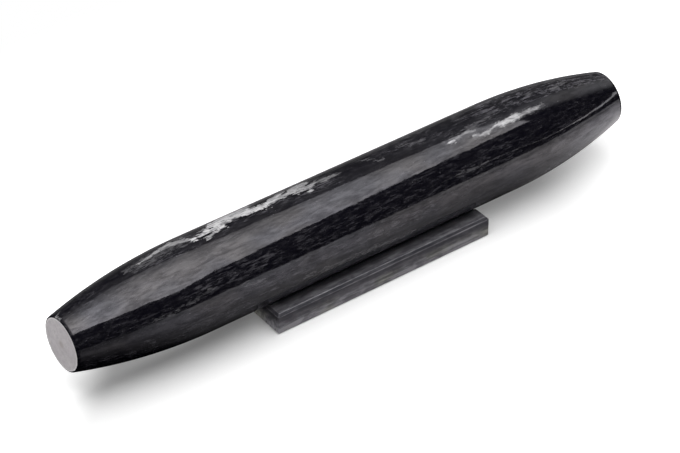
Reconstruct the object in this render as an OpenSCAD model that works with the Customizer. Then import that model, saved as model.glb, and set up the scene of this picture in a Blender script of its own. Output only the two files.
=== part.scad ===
// A handleless rolling pin, turned from one bar of marble, lying in the groove of a
// low marble stand. The pin lies along X, its middle is over the origin, and the
// stand's pads rest on Z = 0.

/* [Pin] */
// Length over the two flat ends
pin_length = 305; // [260:1:400]
// Diameter of the straight barrel
pin_d = 44; // [38:0.5:50]
// Diameter at the flat ends
pin_end_d = 26; // [18:0.5:34]
// Length of each rounded taper, from the barrel to the end
taper_length = 68; // [45:1:90]
// Broken edge round each flat end
pin_edge = 0.6; // [0.2:0.1:1.5]

/* [Stand] */
// Length of the stand
stand_length = 119.5; // [90:0.5:160]
// Width of the stand
stand_width = 46; // [42:0.5:60]
// Depth of the groove under the stand's top face
groove_depth = 5.3; // [3:0.1:8]
// Stone left under the groove
groove_floor = 5; // [4:0.1:12]
// Bevel round the top of the stand and the mouths of the groove
stand_bevel = 1.2; // [0.4:0.1:2]
// Radius of the stand's four upright corners
stand_corner_r = 0.8; // [0.4:0.1:4]
// How far the stand's middle lies from the pin's middle, along the pin
stand_shift = 4; // [-20:0.5:20]

/* [Pads] */
// Diameter of each pad under the stand
pad_d = 9; // [6:0.5:12]
// Thickness of each pad
pad_t = 0.5; // [0.4:0.1:3]
// Distance from the stand's sides to each pad's centre
pad_inset = 8; // [6.5:0.5:14]

/* [Fit] */
// Gap between the pin and the groove
seat_gap = 0.3; // [0.2:0.05:0.6]

/* [Hidden] */

// How far a cutting shape runs past the face that it cuts
past = 1;
// Sides of the circles, close enough for their meshes to follow the true curves
pin_sides = 120;
taper_sides = 720;
groove_sides = 180;
small_sides = 48;

pin_r = pin_d / 2;
pin_end_r = pin_end_d / 2;
barrel_length = pin_length - 2 * taper_length;
taper_drop = pin_r - pin_end_r;
// The arc that leaves the barrel without a kink and reaches the end radius at the end
taper_arc_r = (taper_length * taper_length + taper_drop * taper_drop) / (2 * taper_drop);

groove_r = pin_r + seat_gap;
stand_height = groove_floor + groove_depth;
axis_z = pad_t + groove_floor + groove_r;

// Bar between the two flat faces, cut at 45 degrees round each face
module faced_ends() {
    half = pin_length / 2;
    face_r = pin_end_r - pin_edge;
    polygon([
        [0, -half],
        [face_r, -half],
        [face_r + pin_r, pin_r - half],
        [face_r + pin_r, half - pin_r],
        [face_r, half],
        [0, half]
    ]);
}

// Straight barrel with one big arc tangent to each end of it
module barrel_and_tapers() {
    translate([0, -barrel_length / 2])
        square([pin_r, barrel_length]);
    for (side = [-1, 1])
        translate([pin_r - taper_arc_r, side * barrel_length / 2])
            circle(r = taper_arc_r, $fn = taper_sides);
}

module rolling_pin() {
    color("#26262b")
        translate([0, 0, axis_z])
            rotate([0, 90, 0])
                rotate_extrude($fn = pin_sides)
                    intersection() {
                        faced_ends();
                        barrel_and_tapers();
                    }
}

module rounded_rectangle(length, width, r) {
    square([length - 2 * r, width], center = true);
    square([length, width - 2 * r], center = true);
    for (x = [-1, 1], y = [-1, 1])
        translate([x * (length / 2 - r), y * (width / 2 - r)])
            circle(r = r, $fn = small_sides);
}

// Side of the stand, with its two top edges bevelled
module bevelled_side(length) {
    half = length / 2;
    polygon([
        [-half, 0],
        [half, 0],
        [half, stand_height - stand_bevel],
        [half - stand_bevel, stand_height],
        [stand_bevel - half, stand_height],
        [-half, stand_height - stand_bevel]
    ]);
}

module stand_block() {
    intersection() {
        linear_extrude(stand_height)
            rounded_rectangle(stand_length, stand_width, stand_corner_r);
        rotate([90, 0, 0])
            translate([0, 0, -stand_width / 2 - past])
                linear_extrude(stand_width + 2 * past)
                    bevelled_side(stand_length);
        rotate([90, 0, 90])
            translate([0, 0, -stand_length / 2 - past])
                linear_extrude(stand_length + 2 * past)
                    bevelled_side(stand_width);
    }
}

// The groove's trough, with a bevel where it leaves each end of the stand
module groove_cut() {
    translate([0, 0, groove_floor + groove_r])
        rotate([0, 90, 0]) {
            cylinder(r = groove_r, h = stand_length + 2 * past, center = true, $fn = groove_sides);
            for (end = [0, 1])
                mirror([0, 0, end])
                    translate([0, 0, stand_length / 2 - stand_bevel])
                        cylinder(
                            r1 = groove_r,
                            r2 = groove_r + stand_bevel + past,
                            h = stand_bevel + past,
                            $fn = groove_sides
                        );
        }
}

module stand() {
    color("#3a3a3e")
        translate([stand_shift, 0, pad_t])
            difference() {
                stand_block();
                groove_cut();
            }
}

// Round pad under one corner of the stand: x_side and y_side are -1 or 1
module pad(x_side, y_side) {
    color("#1c1c1c")
        translate([
            stand_shift + x_side * (stand_length / 2 - pad_inset),
            y_side * (stand_width / 2 - pad_inset),
            0
        ])
            cylinder(d = pad_d, h = pad_t, $fn = small_sides);
}

rolling_pin();
stand();
pad(-1, -1);  // pad_front_left
pad(1, -1);  // pad_front_right
pad(-1, 1);  // pad_back_left
pad(1, 1);  // pad_back_right
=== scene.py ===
"""The looks of a black marble rolling pin and its stand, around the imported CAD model."""

import math

import bmesh
import bpy
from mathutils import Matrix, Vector


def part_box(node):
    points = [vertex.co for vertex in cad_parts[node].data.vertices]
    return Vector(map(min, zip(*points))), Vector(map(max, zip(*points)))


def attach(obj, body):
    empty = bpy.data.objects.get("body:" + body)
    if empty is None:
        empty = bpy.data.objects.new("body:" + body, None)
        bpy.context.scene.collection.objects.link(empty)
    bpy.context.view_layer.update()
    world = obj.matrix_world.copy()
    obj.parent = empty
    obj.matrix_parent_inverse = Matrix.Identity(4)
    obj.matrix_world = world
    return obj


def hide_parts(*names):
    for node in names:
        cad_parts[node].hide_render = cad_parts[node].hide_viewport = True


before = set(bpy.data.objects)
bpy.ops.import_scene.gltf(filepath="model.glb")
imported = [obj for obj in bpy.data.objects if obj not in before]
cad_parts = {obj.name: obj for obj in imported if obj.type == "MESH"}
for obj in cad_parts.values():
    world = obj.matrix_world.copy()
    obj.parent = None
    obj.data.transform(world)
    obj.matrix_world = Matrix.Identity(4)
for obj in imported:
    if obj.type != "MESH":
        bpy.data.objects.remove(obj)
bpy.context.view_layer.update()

# Sizes of the pin and the stand, in metres, measured on the frame where its boxes give them
pin_low, pin_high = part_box("rolling_pin")
stand_low, stand_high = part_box("stand")
PIN_LENGTH = pin_high.x - pin_low.x
PIN_RADIUS = (pin_high.z - pin_low.z) / 2
PIN_END_RADIUS = 0.013
TAPER_LENGTH = 0.068
PIN_EDGE = 0.0006
AXIS_Z = (pin_high.z + pin_low.z) / 2
STAND_LENGTH = stand_high.x - stand_low.x
STAND_WIDTH = stand_high.y - stand_low.y
STAND_X = (stand_high.x + stand_low.x) / 2
STAND_BEVEL = 0.0012
STAND_SOFTENING = 0.00022
GROOVE_PLAY = 0.0003
GROOVE_RADIUS = PIN_RADIUS + GROOVE_PLAY

# The photograph's camera, measured from the middle of the pin's axis
CAMERA_OFFSET = Vector((-0.59566, -0.78753, 0.75300))
CAMERA_YAW = math.radians(36.884)
CAMERA_PITCH = math.radians(37.595)
CAMERA_LENS_MM = 145.91
CAMERA_SENSOR_MM = 36.0

# Millimetres in a metre: patterns are written in millimetres
MM = 1000.0

# Refractive index of the stone
STONE_IOR = 1.49
# Colour of every light
LIGHT_WHITE = (1.0, 1.0, 1.0, 1.0)


# Shader helpers

class Nodes:
    """A material's node tree, with short calls for the nodes that the patterns use."""

    def __init__(self, tree):
        self.tree = tree
        tree.nodes.clear()

    def add(self, kind, inputs=None, **settings):
        node = self.tree.nodes.new("ShaderNode" + kind)
        for name, value in settings.items():
            setattr(node, name, value)
        for name, value in (inputs or {}).items():
            self.feed(node.inputs[name], value)
        return node

    def feed(self, socket, value):
        if isinstance(value, bpy.types.NodeSocket):
            self.tree.links.new(value, socket)
        else:
            socket.default_value = value

    def math(self, operation, first, second=0.0, third=0.0, clamp=False):
        node = self.add("Math", operation=operation, use_clamp=clamp)
        for socket, value in zip(node.inputs, (first, second, third)):
            self.feed(socket, value)
        return node.outputs[0]

    def vector(self, operation, first, second=None):
        node = self.add("VectorMath", {0: first}, operation=operation)
        if second is not None:
            self.feed(node.inputs[1], second)
        scalar = operation in ("DOT_PRODUCT", "LENGTH")
        return node.outputs["Value" if scalar else "Vector"]

    def mix(self, share, first, second):
        """The first colour where the share is 0, the second where it is 1."""
        node = self.add("Mix", data_type="RGBA")
        self.feed(node.inputs[0], share)
        self.feed(node.inputs[6], first)
        self.feed(node.inputs[7], second)
        return node.outputs[2]

    def step(self, value, low, high, result_low=0.0, result_high=1.0):
        """Goes smoothly from result_low to result_high while the value goes from low to high."""
        node = self.add("MapRange", interpolation_type="SMOOTHSTEP", clamp=False)
        for name, number in (
            ("Value", value),
            ("From Min", low),
            ("From Max", high),
            ("To Min", result_low),
            ("To Max", result_high),
        ):
            self.feed(node.inputs[name], number)
        return node.outputs["Result"]

    def noise(self, vector, scale, detail=4.0, roughness=0.55, distortion=0.0):
        return self.add(
            "TexNoise",
            {
                "Vector": vector,
                "Scale": scale,
                "Detail": detail,
                "Roughness": roughness,
                "Distortion": distortion,
            },
        ).outputs["Fac"]

    def stretched(self, vector, stretch, offset=(0.0, 0.0, 0.0)):
        moved = self.add("VectorMath", operation="ADD")
        self.feed(moved.inputs[0], vector)
        self.feed(moved.inputs[1], offset)
        scaled = self.add("VectorMath", operation="MULTIPLY")
        self.feed(scaled.inputs[0], moved.outputs[0])
        self.feed(scaled.inputs[1], stretch)
        return scaled.outputs[0]

    def streaky(self, place, along, offset, scale, detail, roughness, distortion=0.0):
        """Noise drawn out along X, where its scale is only the share called along."""
        drawn_out = self.stretched(place, (along, 1.0, 1.0), offset)
        return self.noise(drawn_out, scale, detail, roughness, distortion)

    def emission(self, strength):
        return self.add("Emission", {"Color": LIGHT_WHITE, "Strength": strength}).outputs[0]

    def bump(self, height, strength, distance):
        """A normal for the surface. The distance is in metres."""
        inputs = {"Height": height, "Strength": strength, "Distance": distance}
        return self.add("Bump", inputs).outputs[0]


def new_material(name):
    material = bpy.data.materials.new(name)
    material.use_nodes = True
    return material, Nodes(material.node_tree)


def finish_material(nodes, surface):
    nodes.add("OutputMaterial", {"Surface": surface})


# Marble of the pin

# Stone colours, and the tints of its gloss
BLACK = (0.0021, 0.0019, 0.0038, 1.0)
SMOKE = (0.083, 0.080, 0.090, 1.0)
GREY = (0.150, 0.147, 0.155, 1.0)
DULL_WHITE = (0.25, 0.247, 0.255, 1.0)
WHITE = (0.54, 0.535, 0.545, 1.0)
COOL_TINT = (0.925, 0.915, 1.0, 1.0)
WARM_TINT = (1.0, 0.955, 0.975, 1.0)


def pin_coordinates(nodes):
    """In mm: the place seen from the axis, its part along the axis, and the arc from the top."""
    place = nodes.add("TexCoord").outputs["Object"]
    about_axis = nodes.stretched(place, (MM, MM, MM), (0.0, 0.0, -AXIS_Z))
    split = nodes.add("SeparateXYZ", {"Vector": about_axis})
    along, across, up = split.outputs
    from_top = nodes.math("ARCTAN2", nodes.math("MULTIPLY", across, -1.0), up)
    arc = nodes.math("MULTIPLY", from_top, PIN_RADIUS * MM)
    return about_axis, along, arc


# Strokes that make up the veins: start and end as (mm along the pin, mm of arc from the top),
# the half width at each end in mm, and how white the stroke is
VEINS = [
    ((-109, -5.0), (-100, -6.3), 0.8, 1.0, 0.55),
    ((-100, -6.4), (-91, -8.6), 1.0, 1.3, 0.60),
    ((-95, -7.2), (-86, -5.6), 1.2, 1.8, 0.40),
    ((-87, -5.6), (-83, -4.0), 1.6, 1.1, 0.44),
    ((-82.5, -2.7), (-78, -2.8), 0.9, 1.1, 1.00),
    ((-78, -2.8), (-73, -4.9), 1.1, 1.3, 1.00),
    ((-74, -5.4), (-70, -4.0), 1.0, 1.6, 0.70),
    ((-76, -6.6), (-70, -6.8), 0.7, 0.9, 0.45),
    ((-77, 0.4), (-69.5, -1.6), 0.6, 0.8, 0.65),
    ((-69.5, -2.6), (-67, -3.2), 1.5, 2.0, 1.00),
    ((-68, -7.6), (-62, -8.6), 3.6, 3.6, 1.00),
    ((-66, -4.0), (-62, -5.2), 1.3, 0.9, 0.45),
    ((-62, -9.6), (-54, -9.0), 4.4, 4.8, 0.78),
    ((-54, -5.6), (-45, -4.6), 2.4, 2.2, 1.00),
    ((-54, -11.0), (-49, -11.4), 2.8, 1.6, 0.60),
    ((-45, -4.6), (-39, -4.9), 1.9, 1.8, 1.00),
    ((-39, -5.6), (-33, -6.2), 1.7, 1.6, 0.80),
    ((-38, -7.8), (-30, -8.8), 0.8, 1.0, 0.36),
    ((-33, -5.2), (-24, -5.2), 1.7, 2.2, 0.62),
    ((-27, -8.0), (-19, -8.6), 1.6, 2.0, 0.58),
    ((-25, -4.2), (-18, -4.2), 2.0, 1.6, 0.50),
    ((-15.5, -4.6), (-11.5, -4.4), 1.2, 1.0, 0.22),
    ((-9, -4.2), (-5.5, -4.0), 0.8, 0.8, 0.26),
]
# The thinner vein towards the far end, and pale marks on the near rim, with straighter edges
THIN_VEINS = [
    ((52.6, 7.1), (54.2, 7.2), 0.8, 0.9, 0.80),
    ((54, 6.5), (60, 5.8), 0.6, 0.6, 0.20),
    ((60, 5.9), (64.5, 4.9), 0.6, 0.6, 0.26),
    ((62, 5.8), (67, 6.4), 0.5, 0.5, 0.20),
    ((65, 9.0), (72, 10.3), 0.5, 0.7, 0.42),
    ((72, 10.3), (77, 9.1), 0.7, 0.6, 0.44),
    ((77, 9.1), (82, 9.2), 0.7, 1.2, 0.62),
    ((82, 9.2), (90, 8.7), 1.3, 1.4, 0.80),
    ((90, 8.6), (98, 9.0), 1.2, 1.0, 0.52),
    ((98, 9.0), (107, 8.1), 0.9, 0.5, 0.44),
    ((-21.5, -0.2), (-20.5, -0.2), 0.6, 0.6, 0.60),
    ((-152.3, -1.0), (-152.0, -6.5), 0.35, 0.35, 0.50),
    ((-151.8, -6.0), (-149.4, -8.5), 0.35, 0.25, 0.42),
]
FAINT_VEINS = [
    ((9.2, -6.9), (14.7, -4.0), 0.6, 0.7, 0.45),
    ((14.7, -4.0), (17.4, 0.0), 0.7, 0.7, 0.50),
    ((17.4, 0.0), (19.8, -0.6), 0.6, 0.5, 0.50),
    ((31, -4.2), (43, -0.6), 0.8, 1.0, 0.35),
    ((66, 3.2), (78, 3.4), 0.8, 0.6, 0.35),
    ((104, -1.0), (112, -1.6), 0.7, 0.7, 0.35),
    ((118, 1.0), (128, -2.2), 1.4, 1.2, 0.42),
    ((-118, 26.2), (-106, 25.4), 0.4, 0.5, 0.45),
    ((-106, 25.4), (-88, 22.9), 0.5, 0.5, 0.40),
    ((-72, 27.2), (-62, 30.0), 1.0, 1.0, 0.30),
    ((48, 22.4), (64, 22.8), 0.4, 0.5, 0.35),
    ((-40, 38.0), (20, 42.0), 1.0, 1.6, 0.50),
    ((-2, 31.0), (3, 31.6), 0.8, 0.8, 0.30),
    ((70, 52.0), (116, 42.0), 2.2, 0.8, 0.70),
    ((-126, 52.0), (-60, 60.0), 0.8, 2.8, 0.75),
    ((-58, 60.0), (-10, 55.0), 2.6, 1.0, 0.60),
    ((-92, -20.0), (-30, -27.0), 1.0, 2.6, 0.70),
    ((-34, -27.0), (18, -23.0), 2.4, 0.8, 0.60),
    ((30, -30.0), (104, -38.0), 0.8, 2.4, 0.75),
]
# Thin haze round the veins, as strokes of the same form
HAZE = [
    ((-114, -4.0), (-86, -6.0), 3.0, 4.5, 0.46),
    ((-86, -4.5), (-70, -5.5), 2.0, 3.0, 0.34),
    ((-68, -8.0), (-50, -8.0), 4.5, 4.0, 0.40),
    ((-49, -4.8), (-36, -4.8), 2.0, 2.0, 0.36),
    ((-34, -7.0), (-20, -6.5), 3.6, 4.0, 0.40),
    ((-18, -5.0), (-4, -4.2), 2.6, 1.6, 0.36),
    ((50, 6.6), (68, 5.0), 1.2, 1.4, 0.36),
    ((66, 10.0), (106, 9.0), 1.4, 1.6, 0.36),
]
# Broad smoky areas in the stone, as strokes of the same form; the band along the underside is
# painted reflection
SMOKE_AND_REFLECTION_PATCHES = [
    ((22, -6.0), (80, -2.5), 5.0, 8.5, 0.30),
    ((84, -4.0), (150, -4.0), 7.0, 10.0, 0.86),
    ((-60, -1.5), (-8, -0.5), 2.0, 2.5, 0.30),
    ((-100, 32.0), (40, 33.0), 3.0, 4.0, 0.20),
    ((142, -4.0), (152, 3.0), 5.0, 6.0, 1.10),
    ((-92, 21.0), (-52, 21.0), 3.0, 3.0, 0.25),
    ((-112, -1.0), (-92, 2.0), 1.0, 1.0, 0.45),
    ((-146, 42.0), (-40, 34.0), 4.0, 7.0, 0.30),
    ((-90, -32.0), (20, -24.0), 4.0, 8.0, 0.50),
    ((90, 58.0), (10, 64.0), 6.0, 10.0, 0.45),
    # Painted reflection: paler stone along the underside, where the pin mirrors the stand
    ((-70, 47.0), (66, 47.0), 3.0, 3.0, 0.70),
]
# Depth in mm past which a stroke gets no more solid
CORE_DEPTH = 1.5
# Depths in mm over which the edges of the strokes fade in
VEIN_FADE = 0.8
THIN_FADE = 1.3
FAINT_FADE = 1.6
HAZE_FADE = 2.8
PATCH_FADE = 3.0
# How far in mm the noise tears a stroke's edge in or out, and the lesser share for thin veins
TEAR_REACH = 8.5
THIN_TEAR_SHARE = 0.45
# How far in mm the strokes wander, along the pin and round it
WANDER_ALONG = 4.0
WANDER_ROUND = 2.6


def stroke_depth(nodes, point, start, end, half_widths):
    """How deep in mm a point lies inside a straight stroke. It is below 0 outside the stroke."""
    run = Vector((end[0] - start[0], end[1] - start[1], 0.0))
    from_start = nodes.vector("SUBTRACT", point, (start[0], start[1], 0.0))
    reach = nodes.vector("DOT_PRODUCT", from_start, tuple(run))
    share = nodes.math("DIVIDE", reach, run.length_squared)
    share = nodes.add("Clamp", {"Value": share}).outputs[0]
    nearest = nodes.add("VectorMath", {0: tuple(run)}, operation="SCALE")
    nodes.feed(nearest.inputs["Scale"], share)
    away = nodes.vector("LENGTH", nodes.vector("SUBTRACT", from_start, nearest.outputs[0]))
    width = nodes.math("MULTIPLY_ADD", share, half_widths[1] - half_widths[0], half_widths[0])
    return nodes.math("SUBTRACT", width, away)


def strokes(nodes, point, rows, tear, fade):
    """How white the strokes are at a point. Tear, in mm, shifts their edges in or out."""
    best = None
    for start, end, first_width, last_width, whiteness in rows:
        depth = stroke_depth(nodes, point, start, end, (first_width, last_width))
        depth = nodes.math("MINIMUM", depth, CORE_DEPTH)
        torn_depth = nodes.math("ADD", depth, tear)
        inside = nodes.step(torn_depth, -fade / 2, fade / 2, 0.0, whiteness)
        best = inside if best is None else nodes.math("MAXIMUM", best, inside)
    return best


def pin_marble_colour(nodes):
    """Colour of the pin's stone, and the place in mm that it was worked out from."""
    place, along, arc = pin_coordinates(nodes)
    wander_along = nodes.noise(place, 0.24, 3.0, 0.5)
    wander_round = nodes.streaky(place, 1.0, (31, 17, 5), 0.30, 5.0, 0.6)
    unwound_along = nodes.math("SUBTRACT", along, WANDER_ALONG / 2)
    unwound_arc = nodes.math("SUBTRACT", arc, WANDER_ROUND / 2)
    point = nodes.add("CombineXYZ", {
        0: nodes.math("MULTIPLY_ADD", wander_along, WANDER_ALONG, unwound_along),
        1: nodes.math("MULTIPLY_ADD", wander_round, WANDER_ROUND, unwound_arc),
    }).outputs[0]

    # Each noise has an offset of its own, so that no two of them line up
    mottle = nodes.streaky(place, 0.22, (0, 0, 0), 0.66, 4.0, 0.60, 0.3)
    fine = nodes.streaky(place, 0.22, (7, 0, 0), 1.30, 3.0, 0.55, 0.3)
    clouds = nodes.streaky(place, 0.5, (40, 0, 0), 0.055, 4.0, 0.5)
    specks = nodes.streaky(place, 0.6, (0, 3, 0), 1.5, 3.0, 0.5)
    torn = nodes.streaky(place, 0.32, (0, 9, 0), 0.85, 5.0, 0.60, 0.6)
    shading = nodes.streaky(place, 0.30, (0, 2, 7), 0.95, 4.0, 0.60, 0.4)

    smoke_and_reflection = strokes(nodes, point, SMOKE_AND_REFLECTION_PATCHES, 0.0, PATCH_FADE)
    amount = nodes.math("ADD", nodes.step(clouds, 0.38, 0.62, 0.10, 0.24), smoke_and_reflection)
    smoky = nodes.math("MULTIPLY", nodes.step(mottle, 0.47, 0.70), 0.75)
    grain_share = nodes.step(mottle, 0.36, 0.60, 0.30, 0.80)
    grain = nodes.math("MULTIPLY", nodes.step(fine, 0.46, 0.66), grain_share)
    smoke = nodes.math("MULTIPLY", nodes.math("ADD", smoky, grain), amount, clamp=True)
    colour = nodes.mix(smoke, BLACK, SMOKE)
    flecks = nodes.math("MULTIPLY", nodes.step(specks, 0.68, 0.76), nodes.step(mottle, 0.46, 0.62))
    colour = nodes.mix(nodes.math("MULTIPLY", flecks, 0.7), colour, GREY)

    tear = nodes.math("MULTIPLY", nodes.math("SUBTRACT", torn, 0.5), TEAR_REACH)
    slight_tear = nodes.math("MULTIPLY", tear, THIN_TEAR_SHARE)
    haze = strokes(nodes, point, HAZE, tear, HAZE_FADE)
    faint = strokes(nodes, point, FAINT_VEINS, tear, FAINT_FADE)
    grained = nodes.step(fine, 0.36, 0.62, 0.15, 1.0)
    greyed = nodes.math("MULTIPLY", nodes.math("MAXIMUM", haze, faint), grained)
    colour = nodes.mix(greyed, colour, GREY)
    shade = nodes.mix(nodes.step(shading, 0.38, 0.60), DULL_WHITE, WHITE)
    colour = nodes.mix(strokes(nodes, point, VEINS, tear, VEIN_FADE), colour, shade)
    colour = nodes.mix(strokes(nodes, point, THIN_VEINS, slight_tear, THIN_FADE), colour, shade)
    return colour, place


def polished_marble():
    """Veined black stone whose polish varies with the grain and is worn off at the ends' edges."""
    material, nodes = new_material("polished_marble")
    colour, place = pin_marble_colour(nodes)
    ripple = nodes.streaky(place, 0.32, (0, 0, 21), 0.42, 3.0, 0.5)
    polish = nodes.streaky(place, 0.22, (11, 0, 0), 0.42, 5.0, 0.70, 0.3)
    hue = nodes.streaky(place, 0.5, (5, 0, 0), 0.05, 3.0, 0.5)
    bump = nodes.bump(ripple, 1.0, 0.00004)
    off_middle = nodes.math("ABSOLUTE", nodes.add("SeparateXYZ", {"Vector": place}).outputs[0])
    half = PIN_LENGTH / 2 * MM
    shine = nodes.math(
        "MULTIPLY",
        nodes.step(polish, 0.32, 0.68, 0.31, 0.69),
        nodes.step(off_middle, half - 1.6, half - 0.8, 1.0, 0.12),
    )
    surface = nodes.add("BsdfPrincipled", {
        "Base Color": colour,
        "Roughness": 0.055,
        "IOR": STONE_IOR,
        "Specular IOR Level": shine,
        "Specular Tint": nodes.mix(nodes.step(hue, 0.40, 0.60), COOL_TINT, WARM_TINT),
        "Normal": bump,
    })
    finish_material(nodes, surface.outputs[0])
    return material


# Colours of the flat ends: the ground stone, its darker rings, mottle and grain, and its edge
GROUND_STONE = (0.605, 0.570, 0.590, 1.0)
GROUND_PALE = (0.690, 0.660, 0.675, 1.0)
GROUND_RING = (0.460, 0.430, 0.440, 1.0)
GROUND_MOTTLE = (0.440, 0.410, 0.430, 1.0)
GROUND_GRAIN = (0.420, 0.390, 0.390, 1.0)
GROUND_CENTRE = (0.300, 0.240, 0.205, 1.0)
GROUND_RIM = (0.800, 0.770, 0.780, 1.0)


def honed_end():
    """Ground stone of the flat ends: rings left by grinding, a brown centre and a pale rim."""
    material, nodes = new_material("honed_end")
    place = pin_coordinates(nodes)[0]
    split = nodes.add("SeparateXYZ", {"Vector": place}).outputs
    radius = nodes.vector("LENGTH", nodes.add("CombineXYZ", {0: split[1], 1: split[2]}).outputs[0])
    warped = nodes.math("MULTIPLY_ADD", nodes.noise(place, 0.25, 3.0, 0.5), 2.0, radius)
    rings = nodes.noise(nodes.add("CombineXYZ", {0: warped}).outputs[0], 1.6, 3.0, 0.6)
    grain = nodes.noise(place, 1.6, 5.0, 0.6)
    clouds = nodes.noise(place, 0.12, 4.0, 0.55)
    mottle = nodes.noise(place, 0.48, 4.0, 0.60, 0.3)
    colour = nodes.mix(nodes.step(clouds, 0.38, 0.64), GROUND_STONE, GROUND_PALE)
    colour = nodes.mix(nodes.step(rings, 0.35, 0.70, 0.0, 0.32), colour, GROUND_RING)
    colour = nodes.mix(nodes.step(mottle, 0.40, 0.66, 0.0, 0.50), colour, GROUND_MOTTLE)
    colour = nodes.mix(nodes.step(grain, 0.35, 0.75, 0.0, 0.22), colour, GROUND_GRAIN)
    colour = nodes.mix(nodes.step(radius, 0.6, 2.6, 0.34, 0.0), colour, GROUND_CENTRE)
    colour = nodes.mix(nodes.step(radius, 11.6, 12.0, 0.0, 0.8), colour, GROUND_RIM)
    surface = nodes.add("BsdfPrincipled", {
        "Base Color": colour,
        "Roughness": 0.5,
        "IOR": STONE_IOR,
        "Normal": nodes.bump(grain, 0.6, 0.00003),
    })
    finish_material(nodes, surface.outputs[0])
    return material


# Marble of the stand

# Colours of the honed stone, its paler streaks, and the grey and olive of its painted light and
# scuffs
HONED_DARK = (0.022, 0.021, 0.026, 1.0)
HONED_STREAK = (0.062, 0.060, 0.067, 1.0)
PAINTED_LIGHT_AND_SCUFF_GREY = (0.350, 0.342, 0.368, 1.0)
PAINTED_LOW_LIGHT_OLIVE = (0.350, 0.350, 0.318, 1.0)


def ridge(nodes, value, centre, half_width):
    """1 where the value is at the centre, falling to 0 at the half width."""
    away = nodes.math("ABSOLUTE", nodes.math("SUBTRACT", value, centre))
    return nodes.math("SUBTRACT", 1.0, nodes.math("DIVIDE", away, half_width), clamp=True)


def stand_marble():
    """Honed stone, with painted light low on its sides, painted highlights along its bevel's edges,
    and a paler top next to them that darkens in painted shade towards the groove.

    Profile is a height that unrolls the block's outside: 0 at the middle of the bevel, growing
    inwards along the top and falling down the sides.
    """
    material, nodes = new_material("stand_marble")
    place = nodes.stretched(nodes.add("TexCoord").outputs["Object"], (MM, MM, MM))
    along, across, up = nodes.add("SeparateXYZ", {"Vector": place}).outputs
    from_side = nodes.math("SUBTRACT", STAND_WIDTH / 2 * MM, nodes.math("ABSOLUTE", across))
    off_middle = nodes.math("ABSOLUTE", nodes.math("SUBTRACT", along, STAND_X * MM))
    from_end = nodes.math("SUBTRACT", STAND_LENGTH / 2 * MM, off_middle)
    inwards = nodes.math("MINIMUM", from_side, from_end)
    below_top = nodes.math("SUBTRACT", stand_high.z * MM, up)
    profile = nodes.math("SUBTRACT", inwards, below_top)

    streaks = nodes.streaky(place, 0.07, (0, 0, 0), 0.55, 6.0, 0.62, 0.3)
    scratches = nodes.streaky(place, 0.035, (9, 0, 0), 2.2, 4.0, 0.6)
    clouds = nodes.streaky(place, 0.6, (0, 0, 0), 0.07, 4.0, 0.5)
    wear = nodes.streaky(place, 0.45, (0, 0, 13), 0.38, 5.0, 0.65, 0.4)

    bevel = STAND_BEVEL * MM
    height = (stand_high.z - stand_low.z) * MM
    # Painted light: the sides grow paler towards the floor, standing in for light from the floor
    painted_low_light = nodes.math("MULTIPLY", nodes.step(profile, -height, -1.8 * bevel, 1.0, 0.0), 1.15)
    # The top is paler next to the bevel, and darkens towards the groove in painted shade under the
    # pin
    above = nodes.step(profile, 0.8 * bevel, 1.4 * bevel)
    painted_groove_shade = nodes.step(profile, 1.5 * bevel, 6.0 * bevel, 0.26, 0.0)
    land = nodes.math("MULTIPLY", above, painted_groove_shade)
    # Painted highlights along both edges of the bevel
    painted_arris_highlight = nodes.math("MULTIPLY", ridge(nodes, profile, bevel, 0.45), 0.42)
    painted_lower_arris_highlight = nodes.math("MULTIPLY", ridge(nodes, profile, -bevel, 0.35), 0.45)
    light_and_scuff_areas = nodes.math("MAXIMUM", painted_low_light, land)
    painted_edge_highlights = nodes.math("MAXIMUM", painted_arris_highlight, painted_lower_arris_highlight)
    painted_light_and_scuff_mask = nodes.math("MAXIMUM", light_and_scuff_areas, painted_edge_highlights)
    # Painted light and scuffs, broken up by the streaks, scratches and wear
    streaked_light_and_scuff = nodes.math("MULTIPLY", painted_light_and_scuff_mask, nodes.step(streaks, 0.30, 0.68, 0.45, 1.25))
    streaked_light_and_scuff = nodes.math("MULTIPLY", streaked_light_and_scuff, nodes.step(scratches, 0.35, 0.65, 0.70, 1.20))
    streaked_light_and_scuff = nodes.math("MULTIPLY", streaked_light_and_scuff, nodes.step(wear, 0.36, 0.64, 0.62, 1.38))

    # Olive clouds tint only the painted light low on the sides
    olive = nodes.math("MULTIPLY", nodes.step(clouds, 0.46, 0.62), nodes.step(painted_low_light, 0.0, 0.3))
    light_and_scuff_tone = nodes.mix(olive, PAINTED_LIGHT_AND_SCUFF_GREY, PAINTED_LOW_LIGHT_OLIVE)
    colour = nodes.mix(nodes.step(streaks, 0.40, 0.75), HONED_DARK, HONED_STREAK)
    colour = nodes.mix(nodes.step(wear, 0.44, 0.66, 0.0, 0.20), colour, GREY)
    colour = nodes.mix(streaked_light_and_scuff, colour, light_and_scuff_tone)
    surface = nodes.add("BsdfPrincipled", {
        "Base Color": colour,
        "Roughness": 0.30,
        "IOR": STONE_IOR,
        "Specular Tint": COOL_TINT,
        "Normal": nodes.bump(scratches, 0.5, 0.00004),
    })
    finish_material(nodes, surface.outputs[0])
    return material


# Rubber of the pads

RUBBER_DARK = (0.012, 0.012, 0.012, 1.0)
RUBBER_PALE = (0.028, 0.028, 0.028, 1.0)


def pad_rubber():
    material, nodes = new_material("pad_rubber")
    place = nodes.stretched(nodes.add("TexCoord").outputs["Object"], (MM, MM, MM))
    grain = nodes.noise(place, 3.0, 3.0, 0.5)
    surface = nodes.add("BsdfPrincipled", {
        "Base Color": nodes.mix(grain, RUBBER_DARK, RUBBER_PALE),
        "Roughness": 0.8,
        "Normal": nodes.bump(grain, 0.4, 0.0001),
    })
    finish_material(nodes, surface.outputs[0])
    return material


# Meshes

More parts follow.
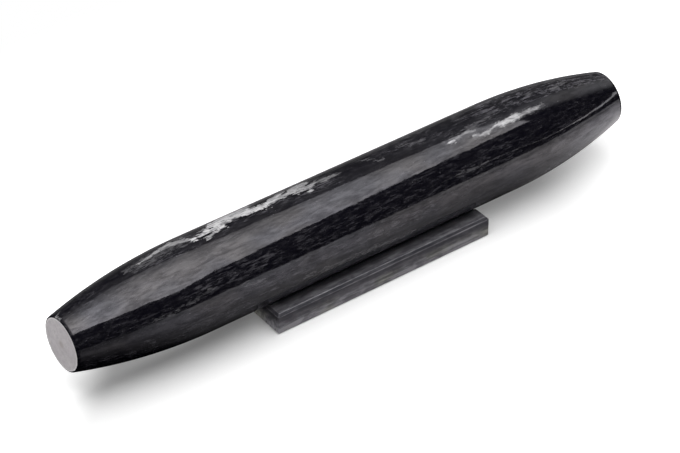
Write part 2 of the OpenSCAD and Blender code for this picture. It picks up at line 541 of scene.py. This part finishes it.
# Faces round the pin, rings along its side, rings in the rounded edge of an end, and rings on
# an end's flat face
PIN_SIDES = 224
PIN_RINGS = 170
ROUNDING_RINGS = 4
FACE_RINGS = 12
# Faces across the stand's groove
GROOVE_STEPS = 48


def mesh_object(name, mesh):
    piece = bpy.data.objects.new(name, mesh)
    bpy.context.scene.collection.objects.link(piece)
    return piece


def pin_profile():
    """(place along the axis, radius) from the near face's rim to the far face's rim."""
    half = PIN_LENGTH / 2
    drop = PIN_RADIUS - PIN_END_RADIUS
    arc_radius = (TAPER_LENGTH ** 2 + drop ** 2) / (2 * drop)
    barrel_half = half - TAPER_LENGTH
    edge_x = half - PIN_EDGE
    points = []
    for ring in range(PIN_RINGS + 1):
        x = -edge_x + 2 * edge_x * ring / PIN_RINGS
        beyond = max(abs(x) - barrel_half, 0.0)
        points.append((x, PIN_RADIUS - arc_radius + math.sqrt(arc_radius ** 2 - beyond ** 2)))
    edge_radius = points[0][1]
    face_radius = PIN_END_RADIUS - PIN_EDGE
    far = []
    for step in range(1, ROUNDING_RINGS):
        turn = math.pi / 2 * step / ROUNDING_RINGS
        far.append((
            half - PIN_EDGE * (1 - math.sin(turn)),
            face_radius + (edge_radius - face_radius) * math.cos(turn),
        ))
    far.append((half, face_radius))
    near = [(-x, radius) for x, radius in reversed(far)]
    return near + points + far


def make_pin():
    """The pin as one closed skin. Its flat ends have the second material slot and flat shading."""
    mesh = bpy.data.meshes.new("marble_pin")
    work = bmesh.new()
    side_line = pin_profile()
    near_x, face_radius = side_line[0]
    far_x = side_line[-1][0]
    face_radii = [face_radius * (k + 1) / (FACE_RINGS + 1) for k in range(FACE_RINGS)]
    near_face = [(near_x, radius) for radius in face_radii]
    far_face = [(far_x, radius) for radius in reversed(face_radii)]
    turns = [2 * math.pi * side / PIN_SIDES for side in range(PIN_SIDES)]
    rings = []
    for x, radius in near_face + side_line + far_face:
        rings.append([
            work.verts.new((x, radius * math.cos(turn), AXIS_Z + radius * math.sin(turn)))
            for turn in turns
        ])
    first_far_ring = len(rings) - 1 - FACE_RINGS
    for number, (ring, following) in enumerate(zip(rings, rings[1:])):
        on_face = number < FACE_RINGS or number >= first_far_ring
        for side in range(PIN_SIDES):
            after = (side + 1) % PIN_SIDES
            face = work.faces.new((ring[side], ring[after], following[after], following[side]))
            face.smooth = not on_face
            face.material_index = 1 if on_face else 0
    for ring, x in ((rings[0], near_x), (rings[-1], far_x)):
        middle = work.verts.new((x, 0.0, AXIS_Z))
        for side in range(PIN_SIDES):
            face = work.faces.new((middle, ring[(side + 1) % PIN_SIDES], ring[side]))
            face.material_index = 1
    bmesh.ops.recalc_face_normals(work, faces=work.faces)
    work.to_mesh(mesh)
    work.free()
    return mesh_object("marble_pin", mesh)


def stand_section(at_end):
    """Corners (across, up) of a section of the stand, from the front over the groove to the back.

    At an end the top lies lower and the groove is wider, each by the bevel.
    """
    half = STAND_WIDTH / 2
    top = stand_high.z
    shoulder = top - STAND_BEVEL
    radius = GROOVE_RADIUS + (STAND_BEVEL if at_end else 0.0)
    land = shoulder if at_end else top
    reach = math.acos((AXIS_Z - land) / radius)
    front = [(-half, stand_low.z), (-half, shoulder)]
    front.append((-half, shoulder) if at_end else (-half + STAND_BEVEL, top))
    groove = []
    for step in range(GROOVE_STEPS + 1):
        turn = -reach + 2 * reach * step / GROOVE_STEPS
        groove.append((radius * math.sin(turn), AXIS_Z - radius * math.cos(turn)))
    back = [(-across, up) for across, up in reversed(front)]
    return front + groove + back


def make_stand():
    work = bmesh.new()
    half = STAND_LENGTH / 2
    inner = half - STAND_BEVEL
    rings = []
    for x, at_end in ((-half, True), (-inner, False), (inner, False), (half, True)):
        rings.append([work.verts.new((STAND_X + x, y, z)) for y, z in stand_section(at_end)])
    count = len(rings[0])
    for ring, following in zip(rings, rings[1:]):
        for corner in range(count):
            after = (corner + 1) % count
            work.faces.new((ring[corner], ring[after], following[after], following[corner]))
    work.faces.new(rings[0])
    work.faces.new(list(reversed(rings[-1])))
    bmesh.ops.remove_doubles(work, verts=work.verts, dist=1e-6)
    bmesh.ops.recalc_face_normals(work, faces=work.faces)
    mesh = bpy.data.meshes.new("marble_stand")
    work.to_mesh(mesh)
    work.free()
    piece = mesh_object("marble_stand", mesh)
    edge = piece.modifiers.new("edge", "BEVEL")
    edge.width = STAND_SOFTENING
    edge.segments = 3
    edge.limit_method = "ANGLE"
    edge.angle_limit = math.radians(25)
    edge.harden_normals = False
    weighted = piece.modifiers.new("weighted", "WEIGHTED_NORMAL")
    weighted.keep_sharp = True
    for face in mesh.polygons:
        face.use_smooth = True
    return piece


# Pieces

marble = polished_marble()
end_stone = honed_end()
stand_stone = stand_marble()
rubber = pad_rubber()

pin = make_pin()
pin.data.materials.append(marble)
pin.data.materials.append(end_stone)
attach(pin, "pin")
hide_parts("rolling_pin")

stand = make_stand()
stand.data.materials.append(stand_stone)
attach(stand, "stand")
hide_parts("stand")

for name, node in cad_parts.items():
    if name.startswith("pad_"):
        node.data.materials.clear()
        node.data.materials.append(rubber)


# Studio

# The soft lamp above the pin: its height over the axis and its outline from above, in metres
LAMP_HEIGHT = 0.40
LAMP_OUTLINE = [
    (-0.400, 0.526),
    (0.311, 0.120),
    (0.330, -0.060),
    (0.410, -0.165),
    (0.304, -0.204),
    (0.188, -0.289),
    (0.076, -0.425),
    (-0.086, -0.348),
    (-0.207, -0.253),
    (-0.400, -0.130),
]
# A far strip of light: turn from +X towards the viewer and height above the horizon, in degrees,
# and half width in metres
STRIP_POINTS = [
    (57.0, 17.0, 0.005),
    (50.0, 9.7, 0.007),
    (45.0, 7.2, 0.011),
    (38.6, 6.1, 0.022),
    (31.0, 7.6, 0.030),
    (24.0, 11.2, 0.033),
    (17.5, 16.2, 0.028),
]
STRIP_DISTANCE = 1.5
STRIP_STRENGTH = 3.0
# A low panel beyond the pin's near end, which lights that end's flat face
LEFT_PANEL_X = -0.80
LEFT_PANEL_Y = (-0.45, 0.25)
LEFT_PANEL_Z = (0.03, 0.20)
LEFT_PANEL_STRENGTH = 6.2
# How bright the mirrored room is in front of the pin and at its right wall, beside white as 1
FRONT_LEVEL = 0.035
WALL_LEVEL = 0.62
# The floor reaches this far from the middle, in metres
FLOOR_REACH = 3.0
SEEN_FLOOR = (0.70, 0.70, 0.70, 1.0)
# From the pin's middle to where its shadow rounds off, in metres
SHADOW_HALF = 0.145
# How pale the mirrored floor is where it is brightest, and the share of green in its white
MIRRORED_WHITE = 0.80
MIRRORED_GREEN = 0.975


def floor_for_camera(nodes, x, y):
    """White paper with the object's shadow, all white further out.

    A glow lifts the shadow away from the pin, and more at both ends, as a retoucher would.
    """
    past_half = nodes.math("SUBTRACT", nodes.math("ABSOLUTE", x), SHADOW_HALF)
    past_end = nodes.math("MAXIMUM", past_half, 0.0)
    away = nodes.vector("LENGTH", nodes.add("CombineXYZ", {0: past_end, 1: y}).outputs[0])
    diffuse = nodes.add("BsdfDiffuse", {"Color": SEEN_FLOOR})
    # The lift at the far end, and at the near end outside a slanting line and behind the pin
    right_half = nodes.step(x, -0.08, 0.08, 0.0, 0.10)
    right = nodes.math("ADD", right_half, nodes.step(x, 0.10, 0.165, 0.0, 0.38))
    past_near_end = nodes.math("SUBTRACT", nodes.math("MULTIPLY_ADD", y, 1.2, 0.01), x)
    near_end = nodes.step(x, -0.10, -0.06, 1.0, 0.0)
    behind = nodes.math("MULTIPLY", nodes.step(y, -0.008, 0.0, 0.0, 0.12), near_end)
    left = nodes.math("ADD", nodes.step(past_near_end, 0.135, 0.165, 0.0, 0.45), behind)
    ends = nodes.math("ADD", right, left)
    strength = nodes.math("ADD", nodes.step(away, 0.020, 0.060, 0.10, 0.35), ends)
    paper = nodes.add("AddShader", {0: diffuse.outputs[0], 1: nodes.emission(strength)})
    far = nodes.step(away, 0.10, 0.25)
    return nodes.add("MixShader", {0: far, 1: paper.outputs[0], 2: nodes.emission(1.0)}).outputs[0]


def floor_for_mirror(nodes, x, y):
    """What the polished stone mirrors: paper with painted light and shade, pale in front and to the
    right, dimmer behind.
    """
    # In front: painted shadow next to the pin, paler outwards, painted dimming to the left, a
    # painted pool of light at right
    front = nodes.math("MULTIPLY", y, -1.0)
    slant = nodes.math("MULTIPLY_ADD", nodes.math("ADD", y, 0.11), 0.25, x)
    ramp = nodes.step(slant, -0.20, 0.0, 0.22, 1.0)
    past_end = nodes.math("MAXIMUM", nodes.math("SUBTRACT", x, 0.13), 0.0)
    dark_until = nodes.step(x, -0.14, -0.06, 0.02, -0.01)
    near = nodes.step(nodes.math("ADD", front, past_end), dark_until, 0.09)
    pool_front = nodes.step(front, 0.06, 0.24, 1.0, 0.0)
    painted_pool = nodes.math("MULTIPLY", nodes.step(x, 0.08, 0.18), pool_front)
    in_front = nodes.step(front, -0.01, 0.01)
    painted_front_light = nodes.math("MULTIPLY_ADD", near, ramp, nodes.math("MULTIPLY", painted_pool, 1.05))
    # Behind: painted dim, and a little paler to the right and further back
    behind_right = nodes.step(x, -0.10, 0.15, 0.19, 0.26)
    behind = nodes.math("MULTIPLY", behind_right, nodes.step(y, 0.07, 0.16, 0.6, 1.05))
    level = nodes.math("MULTIPLY_ADD", in_front, nodes.math("SUBTRACT", painted_front_light, behind), behind)
    white = nodes.math("MULTIPLY", level, MIRRORED_WHITE)
    green = nodes.math("MULTIPLY", white, MIRRORED_GREEN)
    tinted = nodes.add("CombineColor", {0: white, 1: green, 2: white})
    diffuse = nodes.add("BsdfDiffuse", {"Color": tinted.outputs[0]})
    # Further out the paper glows by itself, so that its brightness doesn't hang on the lamps
    far_front = nodes.math("MULTIPLY", ramp, nodes.step(front, 0.80, 1.10, 1.15, 0.05))
    far_back = nodes.step(x, 0.35, 0.60, 0.11, 0.30)
    difference = nodes.math("SUBTRACT", far_front, far_back)
    far_level = nodes.math("MULTIPLY_ADD", in_front, difference, far_back)
    glow = nodes.emission(far_level)
    far = nodes.math("MAXIMUM", nodes.step(front, 0.12, 0.26), nodes.step(y, 0.20, 0.45))
    return nodes.add("MixShader", {0: far, 1: diffuse.outputs[0], 2: glow}).outputs[0]


def make_floor():
    """A plain floor. The camera sees it as white paper, and the stone mirrors another lighting."""
    far = FLOOR_REACH
    corners = [(-far, -far, 0.0), (far, -far, 0.0), (far, far, 0.0), (-far, far, 0.0)]
    mesh = bpy.data.meshes.new("floor")
    mesh.from_pydata(corners, [], [(0, 1, 2, 3)])
    floor = mesh_object("floor", mesh)
    material, nodes = new_material("floor_white")
    place = nodes.add("TexCoord").outputs["Object"]
    split = nodes.add("SeparateXYZ", {"Vector": place})
    x, y = split.outputs[0], split.outputs[1]
    camera_ray = nodes.add("LightPath").outputs["Is Camera Ray"]
    mirrored = floor_for_mirror(nodes, x, y)
    seen = floor_for_camera(nodes, x, y)
    surface = nodes.add("MixShader", {0: camera_ray, 1: mirrored, 2: seen})
    finish_material(nodes, surface.outputs[0])
    floor.data.materials.append(material)


def light_mesh(name, corners, faces, strength_of):
    """A glowing mesh that the camera doesn't see, as strong as strength_of(nodes, place) says."""
    mesh = bpy.data.meshes.new(name)
    mesh.from_pydata(corners, [], faces)
    lamp = mesh_object(name, mesh)
    material, nodes = new_material(name + "_light")
    place = nodes.add("TexCoord").outputs["Object"]
    finish_material(nodes, nodes.emission(strength_of(nodes, place)))
    mesh.materials.append(material)
    lamp.visible_camera = False


def softbox_strength(nodes, place):
    """Brightest above the pin's front, fading towards the back and to the right."""
    split = nodes.add("SeparateXYZ", {"Vector": place})
    depth = nodes.step(split.outputs[1], -0.10, 0.36, 3.7, 0.6)
    fade = nodes.math("MULTIPLY_ADD", split.outputs[0], -0.6, 1.03)
    return nodes.math("MULTIPLY", depth, fade)


def make_lamps():
    """The soft lamp overhead, the far strip and the left panel."""
    height = AXIS_Z + LAMP_HEIGHT
    corners = [(x, y, height) for x, y in LAMP_OUTLINE]
    light_mesh("softbox", corners, [tuple(range(len(corners)))], softbox_strength)

    ribbon = []
    for turn_degrees, rise_degrees, half_width in STRIP_POINTS:
        turn = math.radians(turn_degrees)
        rise = math.radians(rise_degrees)
        out = STRIP_DISTANCE * math.cos(rise)
        up = AXIS_Z + STRIP_DISTANCE * math.sin(rise)
        for edge in (-half_width, half_width):
            ribbon.append((out * math.cos(turn), -out * math.sin(turn), up + edge))
    quads = [(k, k + 2, k + 3, k + 1) for k in range(0, len(ribbon) - 2, 2)]
    light_mesh("far_strip", ribbon, quads, lambda nodes, place: STRIP_STRENGTH)

    front, back = LEFT_PANEL_Y
    low, high = LEFT_PANEL_Z
    outline = [(front, low), (back, low), (back, high), (front, high)]
    panel = [(LEFT_PANEL_X, y, z) for y, z in outline]
    light_mesh("left_panel", panel, [(0, 1, 2, 3)], lambda nodes, place: LEFT_PANEL_STRENGTH)


def make_world():
    """White for the camera. The stone mirrors a dim room, paler behind the pin and to the right."""
    world = bpy.data.worlds.new("studio")
    world.use_nodes = True
    bpy.context.scene.world = world
    nodes = Nodes(world.node_tree)
    camera_ray = nodes.add("LightPath").outputs["Is Camera Ray"]
    heading = nodes.add("TexCoord").outputs["Generated"]
    x, y, z = nodes.add("SeparateXYZ", {"Vector": heading}).outputs
    back = nodes.step(y, -0.1, 0.15)
    right = nodes.step(x, 0.35, 0.60)
    # Behind the pin the room is paler high up, and in the corner far to the right
    glow = nodes.step(z, 0.40, 0.78, 0.055, 0.29)
    glow = nodes.math("MULTIPLY", glow, nodes.step(x, 0.35, 0.60, 1.0, 0.72))
    corner = nodes.math("MULTIPLY", nodes.step(x, 0.72, 0.80), nodes.step(z, 0.0, 0.30, 0.0, 0.18))
    glow = nodes.math("ADD", glow, corner)
    # The right wall is a pale panel, dimmer near the floor and towards the back
    turn = nodes.math("DIVIDE", y, nodes.math("MAXIMUM", x, 0.1))
    wall_back = nodes.step(turn, 0.34, 0.62, 1.0, 0.15)
    wall = nodes.math("MULTIPLY", nodes.step(turn, -0.21, 0.02), wall_back)
    wall = nodes.math("MULTIPLY", wall, nodes.step(z, 0.15, 0.36, 0.45, 1.0))
    wall = nodes.math("MULTIPLY", wall, nodes.math("MULTIPLY", right, WALL_LEVEL))
    over_front = nodes.math("SUBTRACT", glow, FRONT_LEVEL)
    level = nodes.math("MULTIPLY_ADD", over_front, back, FRONT_LEVEL)
    level = nodes.math("ADD", level, wall)
    room = nodes.add("Background", {"Color": LIGHT_WHITE, "Strength": level})
    white = nodes.add("Background", {"Color": LIGHT_WHITE, "Strength": 1.0})
    both = nodes.add("MixShader", {0: camera_ray, 1: room.outputs[0], 2: white.outputs[0]})
    nodes.add("OutputWorld", {"Surface": both.outputs[0]})


def make_camera():
    """The photograph's camera: above, in front of the pin and towards its near end."""
    data = bpy.data.cameras.new("camera")
    data.sensor_fit = "HORIZONTAL"
    data.sensor_width = CAMERA_SENSOR_MM
    data.lens = CAMERA_LENS_MM
    data.clip_start = 0.05
    data.clip_end = 20.0
    camera = bpy.data.objects.new("camera", data)
    bpy.context.scene.collection.objects.link(camera)
    camera.location = CAMERA_OFFSET + Vector((0.0, 0.0, AXIS_Z))
    camera.rotation_euler = (math.pi / 2 - CAMERA_PITCH, 0.0, -CAMERA_YAW)
    bpy.context.scene.camera = camera


make_floor()
make_lamps()
make_world()
make_camera()
bpy.context.scene.view_settings.view_transform = "Standard"
